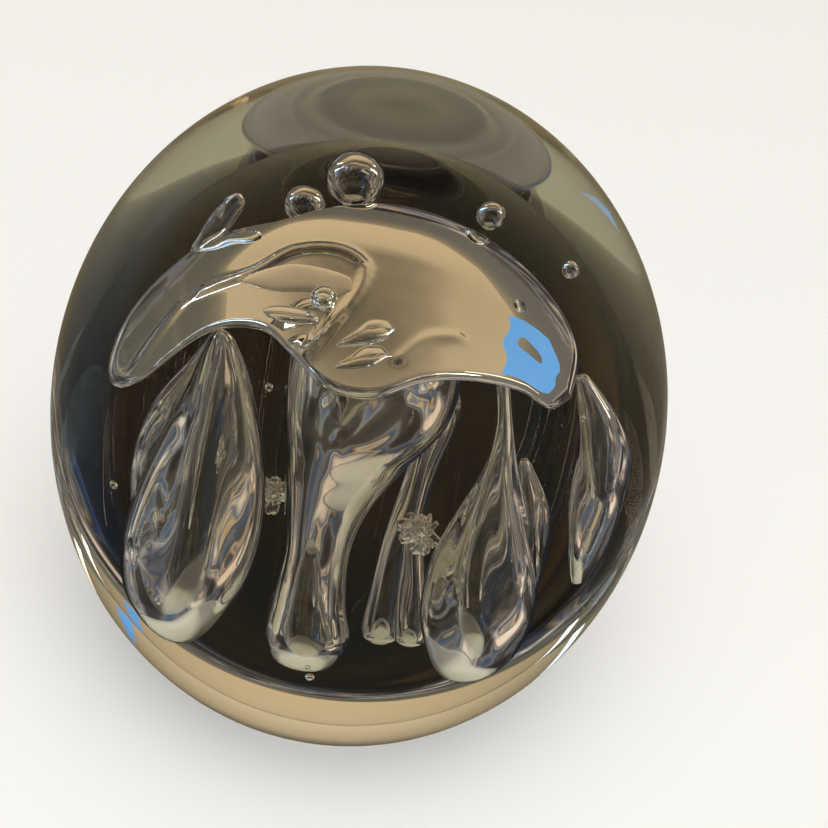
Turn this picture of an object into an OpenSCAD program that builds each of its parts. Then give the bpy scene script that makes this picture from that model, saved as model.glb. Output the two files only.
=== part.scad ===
// Art-glass paperweight: a clear egg of glass cased over a smoky gather that
// traps one thin dome of air, hanging air fingers, crumpled folds and bubbles.
// Units are mm, +Z is up and the origin is the centre of the flat ground foot.
// Every pocket of air is its own closed solid and exactly fills its own void.

/* [Glass body] */
// Radius of the egg at its widest
body_radius = 42.5; // [40:0.5:46]
// Height of the egg above the ground foot
body_height = 92; // [88:0.5:98]
// Radius of the flat ground foot
foot_radius = 23; // [20:0.5:26]
// Width of the small ground bevel round the foot
foot_bevel = 0.7; // [0.4:0.1:1.2]

/* [Smoky core] */
// Radius of the inner gather; every pocket grows and shrinks with it
core_radius = 27; // [26:0.1:28]
// Height of the inner gather's middle above the foot
core_height = 44; // [42:0.5:46]
// Height of the inner gather divided by its width
core_stretch = 1.26; // [1.25:0.001:1.28]

/* [Air canopy] */
// Half width of the bell of air
canopy_radius = 21.4; // [21:0.1:21.6]
// Thickness of the air film at the crown of the bell
canopy_film = 1.6; // [1.4:0.1:1.7]
// How far the bell leans back, in degrees
canopy_lean = 20; // [18:1:22]
// How far the bell rolls to the left, in degrees
canopy_roll = 7; // [5:1:8]

/* [Air fingers] */
// Swell of the left teardrop
left_swell = 6; // [5.4:0.1:6.1]
// Swell of the right teardrop
right_swell = 5; // [4.5:0.1:5.2]
// Width of the middle funnel at its open top
funnel_flare = 8.2; // [7.7:0.1:8.3]

/* [Bubbles] */
// Radius of the largest round bubble
large_bubble = 2.4; // [2:0.1:2.8]
// Radius of the second round bubble
medium_bubble = 1.8; // [1.5:0.1:2.1]
// Radius of the small seed bubbles
seed = 0.4; // [0.3:0.05:0.45]

/* [Hidden] */
$fn = 96;
slack = 1;                       // overshoot of every cutting solid
waist = 0.97;                    // flanks run this share of the swells' radius
core_design_radius = 27;         // the pockets below are set out for this core
grow = core_radius / core_design_radius;
core_half_height = core_radius * core_stretch;

// the egg is a tall ellipsoid cut off flat where its radius is the foot's
foot_share = sqrt(1 - pow(foot_radius / body_radius, 2));
body_half_height = body_height / (1 + foot_share);
body_middle = body_half_height * foot_share;
bevel_slope = 3;                 // run of the ground bevel for each mm of rise

// the bell: a flattened ball less a slightly smaller one set lower
canopy_at = [-2, -4.9, 6.4];
canopy_depth = 0.77;             // front to back, as a share of the width
canopy_tall = 0.68;              // crown height, as a share of the half width
hollow_share = 0.985;            // the inner ball's size as a share of the outer's
hollow_down = canopy_film - (1 - hollow_share) * canopy_tall * canopy_radius;
rim_blunt = 0.25;                // trims the sharp rim of the bell

// ---------------------------------------------------------------- helpers

// places a pocket: the core's middle is the pockets' own origin
module in_core() translate([0, 0, core_height]) scale(grow) children();

module egg(radius, half_height) scale([1, 1, half_height / radius]) sphere(r = radius, $fn = 128);

// half of a disc, on the turning side of the axis
module half_disc(up, r) translate([0, up]) intersection() {
  circle(r = r);
  translate([0, -r - slack]) square([r + slack, 2 * (r + slack)]);
}

// the straight flank between two discs standing on the axis, a touch inside both
module flank(low, high) polygon([
  [0, low[0]], [waist * low[1], low[0]], [waist * high[1], high[0]], [0, high[0]]
]);

// a round pocket of air from foot to head; each station is [distance, radius]
module finger(foot, head, stations) {
  run = head - foot;
  translate(foot) rotate([0, acos(run[2] / norm(run)), atan2(run[1], run[0])])
    rotate_extrude() {
      for (s = stations) half_disc(s[0], s[1]);
      for (i = [1 : len(stations) - 1]) flank(stations[i - 1], stations[i]);
    }
}

// a rounded pebble of air; size holds its three half widths
module pebble(size) scale(size) sphere(r = 1);

// a crumpled pocket: a few balls run together round one middle
module crinkle(big) {
  sphere(r = big);
  translate([0.8, 0.2, 0.7] * big) sphere(r = 0.75 * big);
  translate([-0.6, 0.1, 0.9] * big) sphere(r = 0.6 * big);
  translate([-0.3, -0.2, -0.95] * big) sphere(r = 0.65 * big);
}

// ------------------------------------------------------- the pockets of air

module canopy_shape() translate(canopy_at)
  rotate([0, -canopy_roll, 0]) rotate([-canopy_lean, 0, 0]) difference() {
    intersection() {
      pebble(canopy_radius * [1, canopy_depth, canopy_tall]);
      translate([0, 0, canopy_radius + rim_blunt]) cube(2 * canopy_radius * [1.5, 1.5, 1], center = true);
    }
    translate([0, 0, -hollow_down])
      pebble(hollow_share * canopy_radius * [1, canopy_depth, canopy_tall]);
  }

module fold_shape() translate([-8, -7, 22.2]) pebble([5.6, 2.4, 0.8]);

module leaf_shape() translate([-0.3, -13.6, 22.2]) pebble([3, 2.3, 0.8]);

module lens_shape() translate([-8.4, -11.9, 21.8]) pebble([3, 1.3, 0.55]);

module left_teardrop_shape() finger([-12.3, -4, -23.8], [-13.7, -4, 10.7],
  [[0, 3.2], [10, left_swell], [19, 4.8], [27, 2.8], [34.5, 1]]);

module left_veil_shape() finger([-15.3, 5, -22], [-13.5, 5, 4],
  [[0, 1.4], [9, 2.4], [18, 1.9], [26, 0.8]]);

module funnel_shape() finger([-1.5, -3, -23.9], [1, -3, 9.4],
  [[0, 3.4], [9, 3], [17, 4], [26, 6.4], [33.4, funnel_flare]]);

module narrow_finger_shape() finger([3.8, 6.5, -26.5], [6.6, 6.5, -1],
  [[0, 1.5], [8, 1.3], [16, 1.2], [25.6, 1.6]]);

module short_finger_shape() finger([6.2, 3, -25], [5.6, 3, -13],
  [[0, 1.2], [6, 1], [12, 0.7]]);

module right_teardrop_shape() finger([12.3, -4, -23.5], [13.3, -4, 11.5],
  [[0, 3.2], [8, right_swell], [14, 4.6], [21, 2.4], [28, 1], [35, 0.6]]);

module right_loop_shape() finger([13.6, 4.8, -23.5], [14.6, 4.8, -6],
  [[0, 1.2], [7, 2], [13, 1.6], [17.5, 0.6]]);

module far_finger_shape() finger([19.9, 4, -17.4], [21.4, 4, 4.6],
  [[0, 1.3], [9, 2.8], [16, 2.3], [22, 1]]);

module horn_shape() finger([-15.9, 6.6, 12.6], [-13.5, 7.6, 18.1],
  [[0, 0.7], [3.3, 1.2], [6, 1]]);

module left_crinkle_shape() translate([-6, 2.5, -11.5]) crinkle(1.1);
module middle_crinkle_shape() translate([0.1, 4.2, -9]) crinkle(1.2);
module right_crinkle_shape() translate([6.3, -1, -11.5]) crinkle(1.3);

module large_bubble_shape() translate([-2.9, 14, 16]) sphere(r = large_bubble);
module medium_bubble_shape() translate([-7.1, 9.4, 17]) sphere(r = medium_bubble);
module small_bubble_shape() translate([8.4, 12.8, 15.4]) sphere(r = 1.25);
module fold_bubble_shape() translate([-5.2, -10.3, 23.4]) sphere(r = 1.4);

module seeds_shape() {
  // one larger seed high on the right, the rest scattered through the core
  translate([16.8, 8, 15.1]) sphere(r = 2.2 * seed);
  for (at = [
    [21.2, -3, 6], [-19.4, 0, -12.7], [-0.8, -6, -27], [-10.6, -4, 15.5],
    [-8, 0, 2.5], [-15.5, -9, -20.5], [-18.5, -5, 9.5], [-20.3, -5, 6.4]
  ]) translate(at) sphere(r = seed);
}

module every_pocket() {
  canopy_shape();
  fold_shape();
  leaf_shape();
  lens_shape();
  left_teardrop_shape();
  left_veil_shape();
  funnel_shape();
  narrow_finger_shape();
  short_finger_shape();
  right_teardrop_shape();
  right_loop_shape();
  far_finger_shape();
  horn_shape();
  left_crinkle_shape();
  middle_crinkle_shape();
  right_crinkle_shape();
  large_bubble_shape();
  medium_bubble_shape();
  small_bubble_shape();
  fold_bubble_shape();
  seeds_shape();
}

// ------------------------------------------------------------- sub-parts

// outer gather of clear glass, ground flat underneath
module clear_casing() color([0.86, 0.88, 0.84, 0.25]) difference() {
  intersection() {
    translate([0, 0, body_middle]) egg(body_radius, body_half_height);
    cylinder(h = body_height + slack, r1 = foot_radius - foot_bevel,
             r2 = foot_radius - foot_bevel + bevel_slope * (body_height + slack), $fn = 128);
  }
  translate([0, 0, core_height]) egg(core_radius, core_half_height);
}

// inner gather, with one void for each pocket
module smoky_core() color([0.35, 0.30, 0.25, 0.45]) difference() {
  translate([0, 0, core_height]) egg(core_radius, core_half_height);
  in_core() every_pocket();
}

module air() color([0.80, 0.88, 0.94, 0.6]) in_core() children();

module air_canopy() air() canopy_shape();
module canopy_fold() air() fold_shape();
module leaf_lobe() air() leaf_shape();
module lens_bubble() air() lens_shape();
module left_teardrop() air() left_teardrop_shape();
module left_outer_veil() air() left_veil_shape();
module middle_funnel() air() funnel_shape();
module narrow_finger() air() narrow_finger_shape();
module short_finger() air() short_finger_shape();
module right_teardrop() air() right_teardrop_shape();
module right_outer_loop() air() right_loop_shape();
module far_right_finger() air() far_finger_shape();
module back_left_horn() air() horn_shape();
module left_crinkle() air() left_crinkle_shape();
module middle_crinkle() air() middle_crinkle_shape();
module right_crinkle() air() right_crinkle_shape();
module large_bubble_air() air() large_bubble_shape();
module medium_bubble_air() air() medium_bubble_shape();
module small_bubble_air() air() small_bubble_shape();
module fold_bubble_air() air() fold_bubble_shape();
module seed_bubbles() air() seeds_shape();

clear_casing();
smoky_core();
air_canopy();
canopy_fold();
leaf_lobe();
lens_bubble();
left_teardrop();
left_outer_veil();
middle_funnel();
narrow_finger();
short_finger();
right_teardrop();
right_outer_loop();
far_right_finger();
back_left_horn();
left_crinkle();
middle_crinkle();
right_crinkle();
large_bubble_air();
medium_bubble_air();
small_bubble_air();
fold_bubble_air();
seed_bubbles();
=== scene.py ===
# %% [markdown]
# # A glass paperweight with trapped air
# The real object is an egg of hot-worked glass, ground flat underneath. A clear gather
# cases a smoky one, and between the gathers the maker trapped air: a thin dome like a
# jellyfish bell, long hanging fingers, crumpled folds and round bubbles. This lesson
# builds each sealed pocket as its own closed skin and lets the renderer bend the light
# through all of them.

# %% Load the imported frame
import math
import bmesh
import bpy
from mathutils import Matrix, Vector, noise


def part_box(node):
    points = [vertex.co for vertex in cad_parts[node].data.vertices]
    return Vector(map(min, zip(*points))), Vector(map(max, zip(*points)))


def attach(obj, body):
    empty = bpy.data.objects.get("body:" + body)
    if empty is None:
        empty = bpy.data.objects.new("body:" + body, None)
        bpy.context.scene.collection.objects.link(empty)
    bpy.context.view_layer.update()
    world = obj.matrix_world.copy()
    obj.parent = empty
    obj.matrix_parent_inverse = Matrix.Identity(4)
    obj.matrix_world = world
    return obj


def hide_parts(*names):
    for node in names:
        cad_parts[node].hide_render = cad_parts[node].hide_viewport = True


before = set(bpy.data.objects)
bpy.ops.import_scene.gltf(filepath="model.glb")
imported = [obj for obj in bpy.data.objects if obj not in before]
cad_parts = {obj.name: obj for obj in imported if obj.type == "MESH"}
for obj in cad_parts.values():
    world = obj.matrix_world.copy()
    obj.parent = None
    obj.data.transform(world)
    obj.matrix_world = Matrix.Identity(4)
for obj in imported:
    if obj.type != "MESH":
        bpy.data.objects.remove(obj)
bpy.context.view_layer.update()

MM = 0.001

# %% [markdown]
# ## Sizes of the egg
# The egg is an ellipsoid cut off flat. Its height, its place and the core's size come from
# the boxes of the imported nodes. The widest radius and the foot's radius, which a box can't
# tell apart, repeat the model's own values.

# %% Sizes of the egg and of the core
egg_low, egg_high = (Vector(v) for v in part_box("clear_casing"))
core_low, core_high = (Vector(v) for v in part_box("smoky_core"))
egg_radius = 42.5 * MM
egg_height = egg_high.z - egg_low.z
foot_radius = 23 * MM
foot_share = math.sqrt(1 - (foot_radius / egg_radius) ** 2)
egg_half = egg_height / (1 + foot_share)
egg_middle = Vector((0, 0, egg_half * foot_share))
core_middle = (core_low + core_high) / 2
print("egg radius", egg_radius, "half height", round(egg_half, 5), "core middle", core_middle)

# %% [markdown]
# ## Camera
# A close view from the front and 40 degrees above. The egg leans a little in the view,
# so the camera is rolled about its own axis rather than the egg being tipped.

# %% Camera
VIEW_UP = math.radians(40)
VIEW_DISTANCE = 330 * MM
VIEW_ROLL = math.radians(-8.26)
camera_data = bpy.data.cameras.new("view")
camera = bpy.data.objects.new("view", camera_data)
bpy.context.scene.collection.objects.link(camera)
bpy.context.scene.camera = camera
away = Vector((0, -math.cos(VIEW_UP), math.sin(VIEW_UP)))
camera.location = egg_middle + away * VIEW_DISTANCE
camera.rotation_euler = (
    (-away).to_track_quat("-Z", "Y").to_matrix() @ Matrix.Rotation(-VIEW_ROLL, 3, "Z")
).to_euler()
camera_data.lens = 103
camera_data.sensor_width = 36
camera_data.shift_x = 0.0677
camera_data.shift_y = -0.0006
camera_data.clip_start = 0.01
camera_data.clip_end = 20
print("camera at", camera.location)

# %% [markdown]
# ## Studio
# Glass is drawn by what surrounds it. The floor is plain and pale. Photographers darken
# glass with black and brown cards and brighten its edges with pale ones, all kept out of
# the picture. The same is done here: the cards are hidden from direct view and the world
# shows a plain pale backdrop to the eye and a dim warm room to everything else.

# %% Small node helpers
def fresh_nodes(owner):
    owner.use_nodes = True
    tree = owner.node_tree
    tree.nodes.clear()
    return tree


def add(tree, kind, **inputs):
    node = tree.nodes.new(kind)
    for name, value in inputs.items():
        node.inputs[name.replace("_", " ")].default_value = value
    return node


def wire(tree, a, out, b, into):
    tree.links.new(a.outputs[out], b.inputs[into])


def mixed(tree, first, second, amount=1.0, blend="MIX"):
    """Two colours mixed; the colours and the amount are sockets or plain values."""
    mix = tree.nodes.new("ShaderNodeMix")
    mix.data_type = "RGBA"
    mix.blend_type = blend
    for place, value in ((0, amount), (6, first), (7, second)):
        if isinstance(value, bpy.types.NodeSocket):
            tree.links.new(value, mix.inputs[place])
        else:
            mix.inputs[place].default_value = value
    return mix.outputs[2]


def sum_of(tree, kind, operation):
    """A maths node of the given kind, set to one operation."""
    node = tree.nodes.new(kind)
    node.operation = operation
    return node


def ramp_of(tree, source, low, high, stops):
    """A colour that changes with one number from low to high."""
    scale = add(tree, "ShaderNodeMapRange", From_Min=low, From_Max=high)
    ramp = add(tree, "ShaderNodeValToRGB")
    wire(tree, *source, scale, "Value")
    wire(tree, scale, "Result", ramp, "Fac")
    ends = ramp.color_ramp.elements
    ends[0].position, ends[0].color = stops[0][0], (*stops[0][1], 1)
    ends[1].position, ends[1].color = stops[-1][0], (*stops[-1][1], 1)
    for at, colour in stops[1:-1]:
        ends.new(at).color = (*colour, 1)
    return ramp.outputs[0]


print("helpers ready")


# %% [markdown]
# ## The room
# Rays that reach the eye see a pale backdrop. Rays that leave the glass see a dim room whose
# colour changes with direction, tan behind the egg and olive grey in front of it.

# %% World: pale to the eye, a dim warm room to the glass
world = bpy.data.worlds.new("room")
bpy.context.scene.world = world
room = fresh_nodes(world)
out = add(room, "ShaderNodeOutputWorld")
switch = add(room, "ShaderNodeMixShader")
path = add(room, "ShaderNodeLightPath")
backdrop = add(room, "ShaderNodeBackground", Color=(0.93, 0.93, 0.93, 1), Strength=1.0)
dim = add(room, "ShaderNodeBackground", Strength=1.0)
where = add(room, "ShaderNodeTexCoord")
split = add(room, "ShaderNodeSeparateXYZ")
wire(room, where, "Generated", split, "Vector")

# behind the egg the wall is tan, in front of it the room is olive grey, overhead it is dim
walls = ramp_of(room, (split, "Y"), -1, 1, [
    (0.0, (0.55, 0.56, 0.42)), (0.25, (0.40, 0.41, 0.31)), (0.5, (0.07, 0.08, 0.095)),
    (0.72, (0.24, 0.21, 0.15)), (0.88, (0.58, 0.465, 0.28)), (1.0, (0.86, 0.68, 0.41))])
upward = ramp_of(room, (split, "Z"), 0, 1, [
    (0.0, (1, 1, 1)), (0.35, (0.95, 0.95, 0.97)), (0.60, (0.35, 0.36, 0.38)),
    (1.0, (0.12, 0.13, 0.15))])
room.links.new(mixed(room, walls, upward, blend="MULTIPLY"), dim.inputs["Color"])
wire(room, path, "Is Camera Ray", switch, "Fac")
# mirror images on the outer skin are kept faint so that the inside stays easy to read
outer = sum_of(room, "ShaderNodeMath", "SUBTRACT")
outer.use_clamp = True
room.links.new(path.outputs["Is Glossy Ray"], outer.inputs[0])
room.links.new(path.outputs["Is Transmission Ray"], outer.inputs[1])
sheen = add(room, "ShaderNodeMapRange", To_Min=1.0, To_Max=0.3)
wire(room, outer, "Value", sheen, "Value")
wire(room, sheen, "Result", dim, "Strength")
wire(room, dim, "Background", switch, 1)
wire(room, backdrop, "Background", switch, 2)
wire(room, switch, "Shader", out, "Surface")
print("room ready")

# %% [markdown]
# ## Floor
# A plain pale sheet, just under the foot.

# %% Floor
floor_bm = bmesh.new()
bmesh.ops.create_grid(floor_bm, x_segments=1, y_segments=1, size=3)
floor_mesh = bpy.data.meshes.new("floor")
floor_bm.to_mesh(floor_mesh)
floor_bm.free()
floor = bpy.data.objects.new("floor", floor_mesh)
bpy.context.scene.collection.objects.link(floor)
floor.location.z = egg_low.z - 0.0002
paper = bpy.data.materials.new("floor paper")
tree = fresh_nodes(paper)
out = add(tree, "ShaderNodeOutputMaterial")
shade = add(tree, "ShaderNodeBsdfPrincipled", Base_Color=(0.86, 0.86, 0.86, 1), Roughness=0.9)
wire(tree, shade, "BSDF", out, "Surface")
floor_mesh.materials.append(paper)
floor.visible_glossy = False
print("floor at", round(floor.location.z, 5))

# %% [markdown]
# ## Cards
# The egg works as a strong lens, so the whole view through it shows a small patch of floor just
# behind the foot. A dark spot there, painted shade for the shaded floor behind the egg, darkens
# the interior; lighter rings and streaks farther out give the curved pockets something to bend.

# %% Cards: flat panels that only the glass can see
def card(name, centre, facing, width, tall, colour, strength):
    """A flat glowing or dark panel, hidden from direct view."""
    bm = bmesh.new()
    bmesh.ops.create_grid(bm, x_segments=1, y_segments=1, size=0.5)
    mesh = bpy.data.meshes.new(name)
    bm.to_mesh(mesh)
    bm.free()
    panel = bpy.data.objects.new(name, mesh)
    bpy.context.scene.collection.objects.link(panel)
    panel.scale = (width, tall, 1)
    panel.location = centre
    panel.rotation_euler = (Vector(facing) - Vector(centre)).to_track_quat("Z", "Y").to_euler()
    panel.visible_camera = False
    panel.visible_shadow = False
    panel.visible_diffuse = False
    finish = bpy.data.materials.new(name)
    tree = fresh_nodes(finish)
    out = add(tree, "ShaderNodeOutputMaterial")
    glow = add(tree, "ShaderNodeEmission", Color=(*colour, 1), Strength=strength)
    wire(tree, glow, "Emission", out, "Surface")
    mesh.materials.append(finish)
    return panel


heart = egg_middle
card("left window", (-0.9, -0.1, 0.25), heart, 0.35, 0.6, (0.22, 0.38, 0.66), 1.6).visible_glossy = False

print("cards can be made")

# %% [markdown]
# ## The dark card
# A big card lies on the floor round the foot. The glass sees it and the eye doesn't. Its colour
# changes with the distance from a spot just behind the foot, from near black (painted shade) to tan.

# %% Dark card: place and distances
CARD_SIDE = 6
dark_card = card("dark card", (0, 0, egg_low.z - 0.0001), (0, 0, 1), CARD_SIDE, CARD_SIDE, (0, 0, 0), 1.0)
dark_card.rotation_euler = (0, 0, 0)
dark_card.visible_glossy = False
tree = dark_card.data.materials[0].node_tree
glow = next(n for n in tree.nodes if n.type == "EMISSION")
place = add(tree, "ShaderNodeTexCoord")
metres = sum_of(tree, "ShaderNodeVectorMath", "SCALE")
metres.inputs["Scale"].default_value = CARD_SIDE
far = sum_of(tree, "ShaderNodeVectorMath", "LENGTH")
sides = add(tree, "ShaderNodeSeparateXYZ")
spot = sum_of(tree, "ShaderNodeVectorMath", "SUBTRACT")
spot.inputs[1].default_value = (0, 0.050, 0)
wire(tree, place, "Object", metres, 0)
wire(tree, metres, "Vector", spot, 0)
wire(tree, spot, "Vector", far, 0)
wire(tree, metres, "Vector", sides, "Vector")
print("dark card", CARD_SIDE, "m wide")

# %% Dark card: rings, cooler on the left and warmer on the right
# near black round the spot: painted shade of the floor behind the egg, seen only through the glass
left = ramp_of(tree, (far, "Value"), 0, 3, [
    (0.0, (0.014, 0.009, 0.005)), (0.0080, (0.016, 0.011, 0.007)), (0.0125, (0.06, 0.06, 0.065)),
    (0.020, (0.17, 0.17, 0.165)), (0.035, (0.22, 0.22, 0.20)), (0.055, (0.16, 0.15, 0.115)),
    (0.12, (0.17, 0.16, 0.125)), (0.22, (0.25, 0.22, 0.15)), (0.5, (0.42, 0.35, 0.23)),
    (1.0, (0.45, 0.37, 0.24))])
right = ramp_of(tree, (far, "Value"), 0, 3, [
    (0.0, (0.014, 0.009, 0.005)), (0.0080, (0.017, 0.011, 0.006)), (0.0125, (0.07, 0.06, 0.05)),
    (0.020, (0.20, 0.18, 0.16)), (0.035, (0.26, 0.24, 0.21)), (0.055, (0.20, 0.19, 0.165)),
    (0.12, (0.21, 0.20, 0.175)), (0.22, (0.28, 0.25, 0.18)), (0.5, (0.44, 0.37, 0.24)),
    (1.0, (0.46, 0.38, 0.25))])
side = add(tree, "ShaderNodeMapRange", From_Min=-0.05, From_Max=0.05)
wire(tree, sides, "X", side, "Value")
rings = mixed(tree, left, right, side.outputs["Result"])
print("rings ready")

# %% Dark card: slate blue on the right side of the spot, a lighter front
aside = add(tree, "ShaderNodeMapRange", From_Min=0.009, From_Max=0.020, To_Min=0.0, To_Max=0.85)
near = add(tree, "ShaderNodeMapRange", From_Min=0.030, From_Max=0.042, To_Min=1.0, To_Max=0.0)
amount = sum_of(tree, "ShaderNodeMath", "MULTIPLY")
wire(tree, sides, "X", aside, "Value")
wire(tree, far, "Value", near, "Value")
wire(tree, aside, "Result", amount, 0)
wire(tree, near, "Result", amount, 1)
slate = mixed(tree, rings, (0.045, 0.085, 0.16, 1), amount.outputs["Value"])
front = ramp_of(tree, (sides, "Y"), -0.12, -0.02, [(0.0, (1.9, 2.0, 1.8)), (1.0, (1, 1, 1))])
lit = mixed(tree, slate, front, blend="MULTIPLY")
print("slate side ready")

# %% Dark card: soft patches that fade out, and pale olive right under the foot
cloud = add(tree, "ShaderNodeTexNoise", Scale=34.0, Detail=1.5, Roughness=0.5, Distortion=0.8)
wire(tree, metres, "Vector", cloud, "Vector")
patches = ramp_of(tree, (cloud, "Fac"), 0.3, 0.7, [
    (0.0, (0.15, 0.13, 0.12)), (0.38, (0.35, 0.34, 0.36)), (0.46, (1.1, 1.1, 1.1)),
    (0.54, (0.45, 0.75, 1.45)), (0.60, (0.5, 0.5, 0.5)), (0.68, (3.0, 2.5, 1.8)),
    (0.76, (0.7, 0.95, 1.5)), (1.0, (5.5, 5.0, 4.3))])
calm = add(tree, "ShaderNodeMapRange", From_Min=0.11, From_Max=0.17, To_Min=1.0, To_Max=0.0)
wire(tree, far, "Value", calm, "Value")
busy = mixed(tree, lit, patches, calm.outputs["Result"], "MULTIPLY")
reach_out = sum_of(tree, "ShaderNodeVectorMath", "LENGTH")
wire(tree, metres, "Vector", reach_out, 0)
under = add(tree, "ShaderNodeMapRange", From_Min=0.020, From_Max=0.024, To_Min=1.0, To_Max=0.0)
wire(tree, reach_out, "Value", under, "Value")
card_colour = mixed(tree, busy, (1.0, 1.0, 0.74, 1), under.outputs["Result"])
tree.links.new(card_colour, glow.inputs["Color"])
print("patches ready")

# %% [markdown]
# ## Strips and a pane
# Tall strips draw the bright lines down the fingers, and a blue pane shows in the bell.

# %% Strips and the pane
STRIPS = {
    "left strip": ((-0.42, 0.10, 0.20), 0.05, 0.50, (0.45, 0.72, 1.0), 6.0),
    "right strip": ((0.42, 0.12, 0.20), 0.05, 0.45, (1.0, 0.93, 0.80), 5.0),
    "back left strip": ((-0.36, 0.34, 0.08), 0.03, 0.20, (0.72, 0.86, 1.0), 4.0),
    "back right strip": ((0.38, 0.32, 0.08), 0.03, 0.20, (1.0, 0.90, 0.72), 4.0),
    "front left strip": ((-0.30, -0.24, 0.12), 0.03, 0.24, (0.90, 0.95, 1.0), 4.0),
    "front right strip": ((0.34, -0.20, 0.12), 0.03, 0.24, (1.0, 0.97, 0.92), 4.0),
}
for name, (centre, width, tall, colour, strength) in STRIPS.items():
    card(name, centre, heart, width, tall, colour, strength).visible_glossy = False


def pane(name, distance, corners, colour, strength):
    """A glowing panel behind the glass; each corner is a bearing in degrees and a height."""
    panel = card(name, (0, 0, 0), (0, 0, 1), 1, 1, colour, strength)
    panel.rotation_euler = (0, 0, 0)
    bm = bmesh.new()
    turns = [(math.radians(bearing), height) for bearing, height in corners]
    bm.faces.new([bm.verts.new((distance * math.cos(turn), distance * math.sin(turn), height))
                  for turn, height in turns])
    bm.to_mesh(panel.data)
    bm.free()
    return panel


pane("cool window", 0.25, [(58, 0.04), (54, 0.08), (56, 0.01), (60, 0.01)], (0.17, 0.48, 1.0), 1.2)
print(len(STRIPS), "strips and one pane")

# %% [markdown]
# ## Lamp
# One large soft lamp overhead lights the floor; the glass doesn't see it.

# %% The soft lamp that lights the floor
def soft_lamp(name, centre, size, watts, colour):
    data = bpy.data.lights.new(name, "AREA")
    data.shape = "DISK"
    data.size = size
    data.energy = watts
    data.color = colour
    lamp = bpy.data.objects.new(name, data)
    bpy.context.scene.collection.objects.link(lamp)
    lamp.location = centre
    lamp.rotation_euler = (heart - Vector(centre)).to_track_quat("-Z", "Y").to_euler()
    lamp.visible_camera = False
    lamp.visible_transmission = False
    lamp.visible_glossy = False
    return lamp


soft_lamp("overhead", (0.05, -0.5, 1.6), 1.8, 37, (1.0, 0.985, 0.96))
print("lamp ready")

# %% [markdown]
# ## Glass and air
# Clear glass is a Principled shader with full transmission and a faint warm absorption.
# The smoky gather has almost the same bending power as its casing, so its skin uses a
# ratio just over 1 and a stronger brown absorption. Air inside glass bends light the
# other way: its skin uses the inverse ratio, which gives the silvery total reflections.

# %% Finishes
GLASS_IOR = 1.52


def glass_finish(name, colour, ior, smoke, density, wave, wave_size):
    finish = bpy.data.materials.new(name)
    tree = fresh_nodes(finish)
    out = add(tree, "ShaderNodeOutputMaterial")
    body = add(tree, "ShaderNodeBsdfPrincipled", Roughness=0.0, IOR=ior)
    body.inputs["Base Color"].default_value = (*colour, 1)
    body.inputs["Transmission Weight"].default_value = 1.0
    fog = add(tree, "ShaderNodeVolumeAbsorption", Color=(*smoke, 1), Density=density)
    place = add(tree, "ShaderNodeTexCoord")
    swirl = add(tree, "ShaderNodeTexNoise", Scale=wave_size, Detail=2.0)
    bump = add(tree, "ShaderNodeBump", Strength=wave, Distance=0.001)
    wire(tree, place, "Object", swirl, "Vector")
    wire(tree, swirl, "Fac", bump, "Height")
    wire(tree, bump, "Normal", body, "Normal")
    wire(tree, body, "BSDF", out, "Surface")
    wire(tree, fog, "Volume", out, "Volume")
    return finish, tree, body, place


def satin_foot(tree, body, place, satin, milky):
    """Leaves the ground foot a little matt and milky; both fade to nothing just above it."""
    parts = add(tree, "ShaderNodeSeparateXYZ")
    wire(tree, place, "Object", parts, "Vector")
    for socket, low, high in (("Roughness", satin, 0.0), ("Transmission Weight", 1 - milky, 1.0)):
        fade = add(tree, "ShaderNodeMapRange", From_Min=0.0001, From_Max=0.0009, To_Min=low, To_Max=high)
        wire(tree, parts, "Z", fade, "Value")
        wire(tree, fade, "Result", body, socket)


def air_finish(name):
    finish = bpy.data.materials.new(name)
    tree = fresh_nodes(finish)
    out = add(tree, "ShaderNodeOutputMaterial")
    skin = add(tree, "ShaderNodeBsdfGlass", Roughness=0.0, IOR=1 / GLASS_IOR)
    place = add(tree, "ShaderNodeTexCoord")
    ripple = add(tree, "ShaderNodeTexNoise", Scale=160.0, Detail=1.0)
    bump = add(tree, "ShaderNodeBump", Strength=0.15, Distance=0.0005)
    wire(tree, place, "Object", ripple, "Vector")
    wire(tree, ripple, "Fac", bump, "Height")
    wire(tree, bump, "Normal", skin, "Normal")
    wire(tree, skin, "BSDF", out, "Surface")
    return finish


clear_glass, *inside = glass_finish("clear glass", (1, 1, 1), GLASS_IOR, (0.80, 0.76, 0.62), 6.0, 0.05, 30)
satin_foot(*inside, 0.22, 0.5)
smoky_glass, *_ = glass_finish("smoky glass", (1, 1, 1), 1.015, (0.62, 0.52, 0.40), 22.0, 0.05, 40)
trapped_air = air_finish("trapped air")
print("finishes ready")

# %% [markdown]
# ## Making a piece
# Each skin is drawn with bmesh, turned to face outward, smoothed and put on the root
# body in place of its CAD node. The object itself stays at the origin.

# %% Finish a bmesh as a piece
def make_piece(name, bm, finish, slot, *nodes):
    bmesh.ops.remove_doubles(bm, verts=bm.verts, dist=1e-7)
    bmesh.ops.recalc_face_normals(bm, faces=bm.faces)
    for face in bm.faces:
        face.smooth = True
    mesh = bpy.data.meshes.new(name)
    bm.to_mesh(mesh)
    faces = len(bm.faces)
    bm.free()
    piece = bpy.data.objects.new(name, mesh)
    bpy.context.scene.collection.objects.link(piece)
    mesh.materials.append(finish)
    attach(piece, "root")
    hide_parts(*nodes)
    print(name, faces, "faces")
    return piece


# %% [markdown]
# ## Egg and core
# The egg is a stretched ball cut off flat and given a small ground bevel. The core is a plain
# stretched ball inside it.

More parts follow.
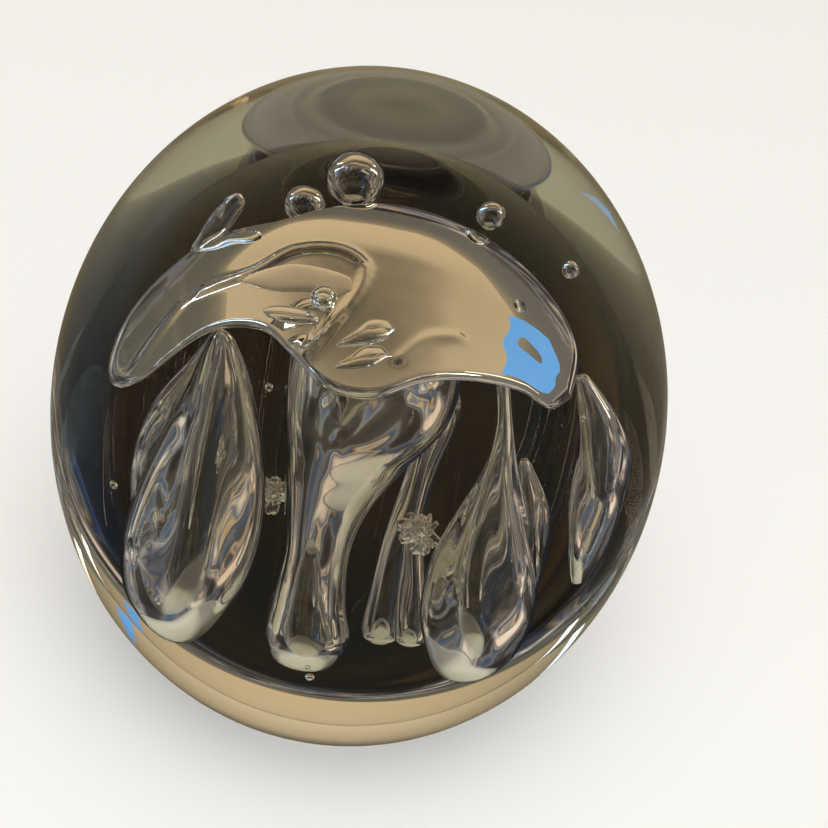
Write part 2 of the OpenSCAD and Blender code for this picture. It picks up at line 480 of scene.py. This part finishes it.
# %% Egg and core
def ball(radius, half_height, middle, around=128, up=96):
    bm = bmesh.new()
    bmesh.ops.create_uvsphere(bm, u_segments=around, v_segments=up, radius=1)
    bmesh.ops.scale(bm, vec=(radius, radius, half_height), verts=bm.verts)
    bmesh.ops.translate(bm, vec=middle, verts=bm.verts)
    return bm


egg = ball(egg_radius, egg_half, egg_middle, 320, 270)
cut = bmesh.ops.bisect_plane(
    egg, geom=egg.verts[:] + egg.edges[:] + egg.faces[:],
    plane_co=(0, 0, egg_low.z), plane_no=(0, 0, -1), clear_outer=True,
)
rim = [g for g in cut["geom_cut"] if isinstance(g, bmesh.types.BMEdge)]
bmesh.ops.contextual_create(egg, geom=rim)
bmesh.ops.bevel(egg, geom=rim, offset=0.7 * MM, offset_type="OFFSET", segments=4,
                profile=0.5, affect="EDGES", material=-1)
casing = make_piece("glass_casing", egg, clear_glass, "clear_glass", "clear_casing")
casing.visible_shadow = False
for face in casing.data.polygons:
    if face.normal.z < -0.999 and len(face.vertices) > 8:
        face.use_smooth = False

core = ball((core_high.x - core_low.x) / 2, (core_high.z - core_low.z) / 2, core_middle, 224, 180)
make_piece("smoky_gather", core, smoky_glass, "smoky_glass", "smoky_core")

# %% [markdown]
# ## Pockets of air
# A pocket starts as a short list of stations, height and radius, smoothed into a line and
# spun about the upright axis. Then it is bent, flattened or dented vertex by vertex, and
# settled into the box of its own CAD node.

# %% Smooth line, spin and settle
def smooth_line(stations, count=10):
    """A smooth curve through pairs of numbers, with count steps from each to the next."""
    p = [stations[0]] + list(stations) + [stations[-1]]
    line = []
    for i in range(1, len(p) - 2):
        for k in range(count):
            t = k / count
            line.append(tuple(
                0.5 * (2 * p[i][c] + (p[i + 1][c] - p[i - 1][c]) * t
                       + (2 * p[i - 1][c] - 5 * p[i][c] + 4 * p[i + 1][c] - p[i + 2][c]) * t * t
                       + (3 * p[i][c] - p[i - 1][c] - 3 * p[i + 1][c] + p[i + 2][c]) * t ** 3)
                for c in (0, 1)))
    line.append(stations[-1])
    return line


def spun(line, steps=64):
    bm = bmesh.new()
    verts = [bm.verts.new((max(r, 0.0), 0, z)) for z, r in line]
    edges = [bm.edges.new(pair) for pair in zip(verts, verts[1:])]
    bmesh.ops.spin(bm, geom=verts + edges, axis=(0, 0, 1), cent=(0, 0, 0),
                   angle=math.tau, steps=steps, use_merge=True)
    bmesh.ops.remove_doubles(bm, verts=bm.verts, dist=1e-6)
    return bm


def box_of(bm):
    lows = Vector([min(v.co[i] for v in bm.verts) for i in range(3)])
    highs = Vector([max(v.co[i] for v in bm.verts) for i in range(3)])
    return lows, highs


def settle(bm, node, swell=1.0):
    """Scale and move the mesh so that its box is the CAD node's box, times swell."""
    low, high = box_of(bm)
    to_low, to_high = (Vector(v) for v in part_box(node))
    size = to_high - to_low
    for v in bm.verts:
        for i in range(3):
            t = (v.co[i] - low[i]) / (high[i] - low[i])
            v.co[i] = to_low[i] + size[i] * (0.5 + (t - 0.5) * swell)
    return bm


print("pocket tools ready")

# %% [markdown]
# ## Fingers of air
# Each finger is a short list of stations from foot to head: sideways place, depth, height and
# radius. It is spun round, then bent along its line and pleated.

# %% Hanging fingers
def finger(stations, pleats=5, depth=0.03, twist=1.5, flat=1.0, steps=160):
    """A bent, pleated tube of air through (x, y, height, radius) stations, foot first."""
    low, high = stations[0][2], stations[-1][2]
    line = smooth_line([(z, r) for x, y, z, r in stations], 14)
    bm = spun(line, steps)
    xs = smooth_line([(z, x) for x, y, z, r in stations], 8)
    ys = smooth_line([(z, y) for x, y, z, r in stations], 8)

    def read(track, z):
        for (za, a), (zb, b) in zip(track, track[1:]):
            if za <= z <= zb:
                return a + (b - a) * ((z - za) / max(zb - za, 1e-6))
        return track[0][1] if z < low else track[-1][1]

    for v in bm.verts:
        t = (v.co.z - low) / (high - low)
        turn = math.atan2(v.co.y, v.co.x)
        pleat = math.sin(pleats * turn + twist * t * math.tau)
        puff = 1 + depth * pleat * math.sin(math.pi * min(max(t, 0), 1))
        cx, cy = read(xs, v.co.z), read(ys, v.co.z)
        v.co = Vector((cx + v.co.x * puff, cy + v.co.y * puff * flat, v.co.z)) * MM
    return bm


FINGERS = {
    "left_teardrop": (
        [(-12.6, -4, 16.4, 0), (-12.6, -4, 16.7, 1.4), (-12.8, -4, 17.9, 2.9), (-13.0, -4, 20.8, 4.7),
         (-12.7, -4, 26, 6.0), (-12.3, -4, 32.5, 6.0), (-12.0, -4, 40, 5.2), (-12.1, -4, 46, 4.0),
         (-12.7, -4, 51, 2.8), (-13.4, -4, 54.8, 1.5), (-13.7, -4, 56.0, 0.7), (-13.7, -4, 56.3, 0)],
        dict(pleats=4, depth=0.06, twist=0.8, flat=0.9)),
    "left_outer_veil": (
        [(-15.0, 4.5, 20.6, 0), (-15.0, 4.5, 21, 0.8), (-15.3, 4.5, 24, 1.7), (-16.3, 4.5, 31, 2.4),
         (-16.0, 4.5, 38, 2.0), (-14.4, 4.5, 44, 1.2), (-13.4, 4.5, 48, 0.5), (-13.2, 4.5, 48.6, 0)],
        dict(pleats=3, depth=0.06)),
    "middle_funnel": (
        [(-1.5, -3, 16.0, 0), (-1.5, -3, 16.3, 1.4), (-1.5, -3, 17.2, 2.6), (-1.5, -3, 20, 3.5),
         (-1.8, -3, 24, 3.1), (-1.9, -3, 30, 2.9), (-1.7, -3, 36, 3.8), (-0.8, -3, 42, 5.6),
         (0.5, -3, 48, 7.6), (1.0, -3, 54, 8.3), (1.0, -3, 58.5, 8.0), (1.0, -3, 60.8, 6.6),
         (1.0, -3, 61.4, 3.0), (1.0, -3, 61.4, 0)],
        dict(pleats=3, depth=0.08, twist=0.5, flat=0.85)),
    "narrow_finger": (
        [(3.7, 6.5, 16.0, 0), (3.7, 6.5, 16.4, 0.9), (3.8, 6.5, 18, 1.5), (4.4, 6.5, 26, 1.3),
         (5.4, 6.5, 34, 1.2), (6.4, 6.5, 41, 1.6), (6.6, 6.5, 43.6, 1.2), (6.6, 6.5, 44.4, 0)],
        dict(pleats=3, depth=0.05)),
    "short_finger": (
        [(6.2, 3, 17.8, 0), (6.2, 3, 18.1, 0.7), (6.2, 3, 19.2, 1.2), (6.0, 3, 25, 1.0),
         (5.7, 3, 30, 0.7), (5.6, 3, 31.4, 0.4), (5.6, 3, 31.7, 0)],
        dict(pleats=3, depth=0.04)),
    "right_teardrop": (
        [(12.2, -4, 16.2, 0), (12.2, -4, 16.6, 1.5), (12.3, -4, 17.6, 2.7), (12.5, -4, 20, 4.0),
         (12.7, -4, 25, 5.1), (13.0, -4, 31, 4.8), (13.4, -4, 37, 3.4), (13.8, -4, 43, 1.7),
         (13.9, -4, 49, 0.8), (13.5, -4, 54, 0.7), (13.3, -4, 56.2, 0.5), (13.3, -4, 56.5, 0)],
        dict(pleats=5, depth=0.05, twist=1.6, flat=0.9)),
    "right_outer_loop": (
        [(13.2, 4.8, 19.2, 0), (13.2, 4.8, 19.6, 0.7), (13.7, 4.8, 22, 1.5), (15.0, 4.8, 28, 2.0),
         (15.2, 4.8, 33, 1.6), (14.5, 4.8, 37.4, 0.6), (14.4, 4.8, 38, 0)],
        dict(pleats=3, depth=0.06)),
    "far_right_finger": (
        [(20.4, 4, 24, 0), (20.5, 4, 24.4, 0.6), (21.3, 4, 29, 1.5), (22.3, 4, 37, 2.1),
         (22.0, 4, 44, 1.5), (20.9, 4, 49.4, 0.6), (20.7, 4, 50, 0)],
        dict(pleats=3, depth=0.06)),
    "back_left_horn": (
        [(-17.2, 5.5, 57.6, 0), (-17.0, 5.6, 58, 0.6), (-15.8, 6.2, 60, 1.2), (-14.6, 6.8, 62, 1.4),
         (-14.1, 7.1, 63.6, 1.2), (-13.9, 7.2, 64.4, 0.6), (-13.9, 7.2, 64.7, 0)],
        dict(pleats=3, depth=0.08)),
}
for name, (stations, form) in FINGERS.items():
    bm = settle(finger(stations, **form), name)
    make_piece(name + "_air", bm, trapped_air, "trapped_air", name)

# %% [markdown]
# ## The bell
# The canopy is a nearly level roof of air seen from above, so it mirrors the wall behind
# it. It is spun as a flat closed disc with a rounded lip, and every point is then lifted
# to the roof's own height, with soft folds pressed into it.

# %% The bell's plan, height and folds
BELL_MIDDLE = Vector((-2.0, -2.0))
HALF_SPAN = 21.6
ROOF_TOP = 64.6
LEFT_DROP, RIGHT_DROP, BACK_DROP, FRONT_DROP = 20.5, 15, 5.0, 1.6
# the rim in mm, listed going round from the right-hand tip: a shallow bay behind on the
# left, a long left wing, and a blunt nose that hangs over the front
BELL_RIM = [(19, -1), (18, 5), (14.5, 8.5), (8, 10.5), (0.5, 11), (-5, 8), (-10, 5.5), (-16, 6.5),
            (-21.5, 4), (-23.5, -1.5), (-21.5, -6), (-16, -7), (-11, -10.5), (-8, -15), (-4, -20),
            (1, -20.5), (6, -16), (11.5, -11), (15.5, -7), (18, -5)]
# each fold: how high it rises, how wide it is, and the line it runs along
FOLDS = [
    (0.42, 0.65, [(-17, -1), (-12.5, -2), (-8.5, 0), (-4, 0), (-1.5, -2.5), (-2.5, -8), (-6.5, -16)]),
    (0.20, 0.55, [(-11.5, -4), (-9, -3.5), (-3.5, -5)]),
    (0.30, 0.70, [(-22, -4), (-18.5, -1)]),
    (0.28, 0.70, [(3.5, -15), (6, -10.5), (9, -8)]),
]


def gap_to(path, x, y):
    """How far a point is from the nearest part of a line."""
    best = 1e9
    for (ax, ay), (bx, by) in zip(path, path[1:]):
        dx, dy = bx - ax, by - ay
        t = max(0, min(1, ((x - ax) * dx + (y - ay) * dy) / (dx * dx + dy * dy)))
        best = min(best, math.hypot(x - ax - t * dx, y - ay - t * dy))
    return best


def point_on(loop, direction):
    """The place on a closed loop that a direction points at, counted evenly round it."""
    turn = (math.atan2(direction.y, direction.x) / math.tau) % 1 * len(loop)
    k = int(turn) % len(loop)
    return Vector(loop[k]).lerp(Vector(loop[(k + 1) % len(loop)]), turn - int(turn))


def roof(x, y):
    """The bell's height in mm: level in the middle, rolled down to the sides, back and front."""
    across = (x - BELL_MIDDLE.x) / HALF_SPAN
    z = ROOF_TOP - 0.03 * y
    z -= (LEFT_DROP if across < 0 else RIGHT_DROP) * abs(across) ** 2.5
    z -= BACK_DROP * (max(0, y) / 13) ** 2
    z -= FRONT_DROP * (max(0, -y) / 17) ** 2
    return z


def bell(film, lip, rings=60):
    """A closed thin roof: outer sheet, rounded lip, inner sheet."""
    loop = smooth_line(BELL_RIM + [BELL_RIM[0]], 10)[:-1]
    fold_lines = [smooth_line(path, 4) for _, _, path in FOLDS]
    line = [(0, k / rings) for k in range(rings + 1)]
    lip_turns = [math.pi * k / 8 for k in range(1, 8)]
    line += [(-0.5 + 0.5 * math.cos(a), 1 + 0.03 * math.sin(a)) for a in lip_turns]
    line += [(-1, k / rings) for k in range(rings, -1, -1)]
    bm = spun(line, len(loop))
    for v in bm.verts:
        r = math.hypot(v.co.x, v.co.y)
        edge = point_on(loop, v.co)
        x, y = BELL_MIDDLE + (edge - BELL_MIDDLE) * r
        thick = film + (lip - film) * min(r, 1) ** 3
        z = roof(x, y) + v.co.z * thick
        for (rise, width, _), path in zip(FOLDS, fold_lines):
            z += rise * math.exp(-(gap_to(path, x, y) / width) ** 2)
        v.co = Vector((x, y, z)) * MM
    return bm


make_piece("canopy_air", settle(bell(1.6, 1.3), "air_canopy"), trapped_air, "trapped_air", "air_canopy")

# %% [markdown]
# ## Fold and leaf
# Two flat lobes that lie just over the bell, each drawn inside a given outline.

# %% The small fold and the leaf that lie over the bell
def lobe(outline, height, thick, steps=24):
    """A flat leaf of air inside a given outline, thickest in its middle."""
    middle = sum((Vector(p) for p in outline), Vector((0, 0))) / len(outline)
    loop = smooth_line(list(outline) + [outline[0]], 8)[:-1]
    bm = bmesh.new()
    bmesh.ops.create_uvsphere(bm, u_segments=len(loop), v_segments=steps, radius=1)
    for v in bm.verts:
        edge = point_on(loop, v.co)
        flat = middle + (edge - middle) * math.hypot(v.co.x, v.co.y)
        v.co = Vector((flat.x, flat.y, height(flat.x, flat.y) + v.co.z * thick / 2)) * MM
    return bm


fold = lobe([(-2.5, -7.5), (-3, -5.5), (-6.5, -4.5), (-9.5, -4.5), (-13.5, -6.5), (-10.5, -8.5),
             (-6.5, -8.5), (-4, -9)],
            lambda x, y: roof(x, y) + 1.5, 0.6)
make_piece("fold_air", settle(fold, "canopy_fold"), trapped_air, "trapped_air", "canopy_fold")
leaf = lobe([(2.5, -12.5), (1.5, -11.5), (-0.5, -12), (-2, -14), (-3.5, -16), (-1, -15.5), (1, -14.5)],
            lambda x, y: roof(x, y) + 1.8, 0.9)
make_piece("leaf_air", settle(leaf, "leaf_lobe"), trapped_air, "trapped_air", "leaf_lobe")

# %% [markdown]
# ## Bubbles
# Round bubbles and the flat lens are balls pushed slightly out of shape and settled into place.

# %% Small round pockets, each a little out of true
for name in ("large_bubble_air", "medium_bubble_air", "small_bubble_air", "fold_bubble_air", "lens_bubble"):
    bm = bmesh.new()
    bmesh.ops.create_icosphere(bm, subdivisions=5, radius=1)
    for v in bm.verts:
        v.co *= 1 + 0.03 * noise.noise(v.co * 1.7)
    skin_name = name.replace("_air", "") + "_skin"
    make_piece(skin_name, settle(bm, name), trapped_air, "trapped_air", name)

# %% [markdown]
# ## Crumpled pockets
# The three crumpled pockets are balls with deep creases that throw small bright glints.

# %% Crumpled pockets
for k, name in enumerate(("left_crinkle", "middle_crinkle", "right_crinkle")):
    bm = bmesh.new()
    bmesh.ops.create_icosphere(bm, subdivisions=6, radius=1)
    for v in bm.verts:
        deep = abs(noise.noise(v.co * 1.5 + Vector((0, 0, 7 * k))))
        fine = abs(noise.noise(v.co * 3.6))
        v.co *= 0.5 + 1.5 * (deep + 0.25 * fine)
    make_piece(name + "_skin", settle(bm, name, 1.15), trapped_air, "trapped_air", name)

# %% Seed bubbles keep their CAD shape and take the air finish
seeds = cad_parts["seed_bubbles"]
seeds.data.materials.clear()
seeds.data.materials.append(trapped_air)
print("seed bubbles", len(seeds.data.polygons), "faces")

# %% [markdown]
# ## Light paths
# Light crosses many skins here, so the number of bounces is raised.

# %% Light paths deep enough for glass inside glass
scene = bpy.context.scene
scene.cycles.max_bounces = 32
scene.cycles.transmission_bounces = 32
scene.cycles.glossy_bounces = 16
scene.cycles.transparent_max_bounces = 16
scene.cycles.caustics_refractive = False
scene.cycles.caustics_reflective = False
scene.view_settings.view_transform = "Standard"
print("bounces", scene.cycles.max_bounces)
